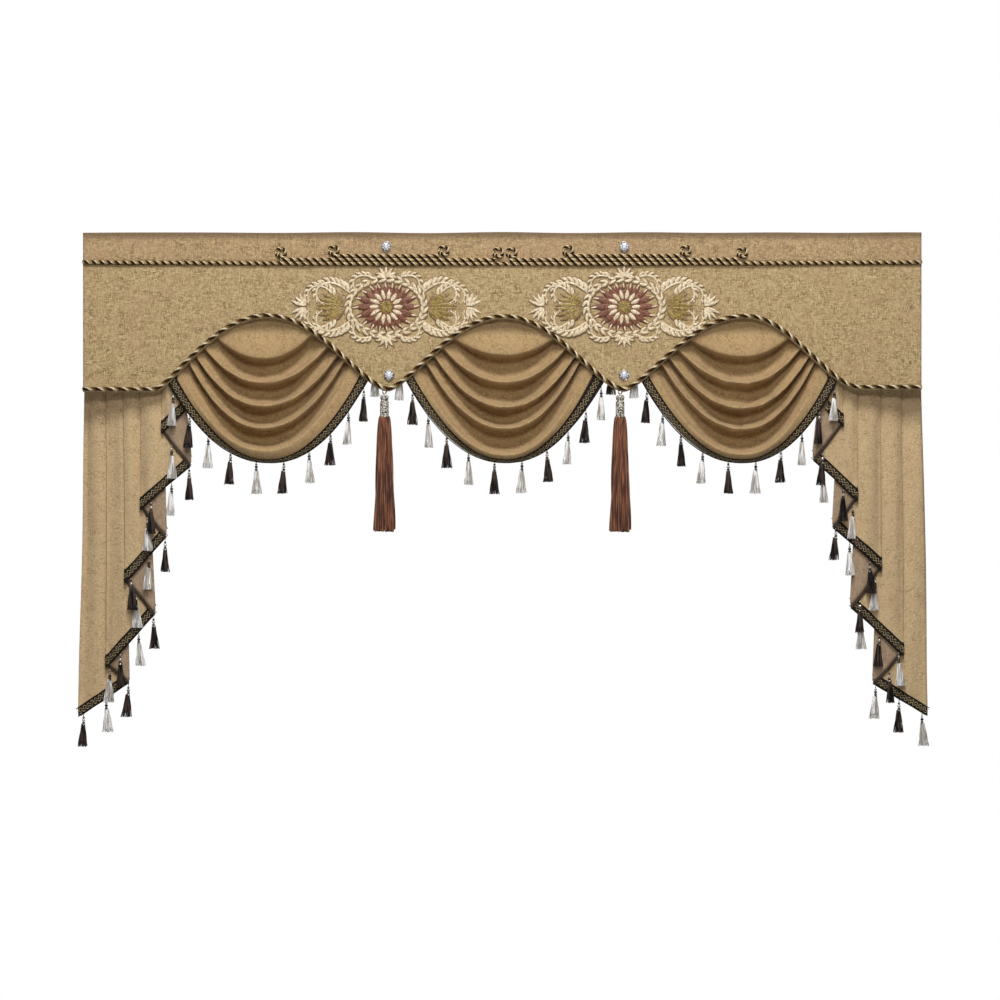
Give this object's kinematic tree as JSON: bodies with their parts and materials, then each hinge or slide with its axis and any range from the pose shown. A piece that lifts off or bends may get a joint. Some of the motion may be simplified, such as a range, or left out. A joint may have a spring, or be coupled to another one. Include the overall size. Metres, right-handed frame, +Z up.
{
  "type": "swag and tail valance",
  "caption": "Wide flat valance with arched lower edge, pleated swags behind the arches, cascade tails at both ends, rope cord and beaded tassel fringe.",
  "frame": {"origin": "middle of the heading band's top edge, in the middle of the cloth's thickness", "axes": "+X to the right as seen from the room, -Y towards the room, +Z up"},
  "size_m": [2.053, 0.1055, 1.2348],
  "materials": {
    "panel_cloth": "matt slubbed chenille weave, khaki gold",
    "swag_cloth": "matt slubbed chenille weave, warm gold",
    "tassel_fringe": "dark brown gimp braid with brown and silver beaded tassels",
    "twisted_cord": "satin rope twist in brown, gold and cream",
    "crystal": "clear faceted",
    "cap_silver": "silvered moulded cap",
    "tassel_cord": "russet brown twisted skirt cords"
  },
  "bodies": {
    "root": {"heading_band": "panel_cloth", "valance_panel": "panel_cloth", "tail_left": "panel_cloth", "tail_right": "panel_cloth", "swag_left": "swag_cloth", "swag_centre": "swag_cloth", "swag_right": "swag_cloth", "swag_fringe_left": "tassel_fringe", "swag_fringe_centre": "tassel_fringe", "swag_fringe_right": "tassel_fringe", "tail_fringe_left": "tassel_fringe", "tail_fringe_right": "tassel_fringe", "top_cord": "twisted_cord", "top_cord_mid_left": "twisted_cord", "top_cord_mid_right": "twisted_cord", "top_cord_upper_left": "twisted_cord", "top_cord_upper_right": "twisted_cord", "edge_cord": "twisted_cord", "cord_curl_1": "twisted_cord", "cord_curl_2": "twisted_cord", "cord_curl_3": "twisted_cord", "cord_curl_4": "twisted_cord", "cord_curl_5": "twisted_cord", "cord_curl_6": "twisted_cord", "cord_curl_7": "twisted_cord", "cord_curl_8": "twisted_cord", "tassel_hanger_left": "twisted_cord", "tassel_hanger_right": "twisted_cord", "crystal_button_1": "crystal", "crystal_button_2": "crystal", "crystal_button_3": "crystal", "crystal_button_4": "crystal", "tassel_cap_left": "cap_silver", "tassel_skirt_left": "tassel_cord", "tassel_cap_right": "cap_silver", "tassel_skirt_right": "tassel_cord"}
  },
  "joints": []
}
